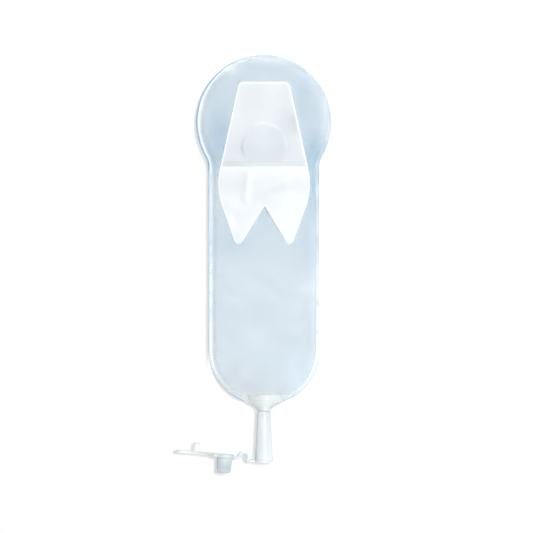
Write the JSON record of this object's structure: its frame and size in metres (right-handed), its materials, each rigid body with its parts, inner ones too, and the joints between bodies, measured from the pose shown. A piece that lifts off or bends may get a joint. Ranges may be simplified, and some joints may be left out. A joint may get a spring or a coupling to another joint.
{
  "type": "urine drainage bag",
  "caption": "Flat body-worn urine drainage pouch of two welded films, with a tooth-shaped skin barrier under a split liner, a weld-in drain spout and a tethered plug cap.",
  "frame": {"origin": "on the table under the middle of the barrier's opening, on the pouch's centre line, at the back film's outer face", "axes": "+Y up the pouch from the spout to the round head, +Z from the back film towards the skin side, +X across the pouch"},
  "size_m": [0.1108, 0.297, 0.0136],
  "materials": {
    "film": "satin translucent film",
    "barrier": "matte adhesive paste",
    "liner": "satin release paper",
    "fitment": "satin translucent moulding",
    "spout": "soft translucent moulding",
    "cap": "soft translucent moulding"
  },
  "bodies": {
    "pouch": {"front_film": "film", "back_film": "film", "skin_barrier": "barrier", "upper_liner": "liner", "lower_liner": "liner", "outlet_fitment": "fitment", "drain_spout": "spout"},
    "tether": {"tether_loop": "spout"},
    "cap": {"plug_cap": "cap"}
  },
  "joints": [
    {"name": "tether_swing", "type": "hinge", "parent": "pouch", "child": "tether", "pos_m": [-0.01415, -0.22648, 0.0068], "axis": [0, 0, 1], "range_deg": [0, 185.2], "stiffness_Nm_per_rad": 0.0015, "deforming": ["tether_loop"]},
    {"name": "plug_press", "type": "slide", "parent": "tether", "child": "cap", "axis": [-0.0906, -0.9959, 0], "range_m": [0, 0.0075]}
  ]
}
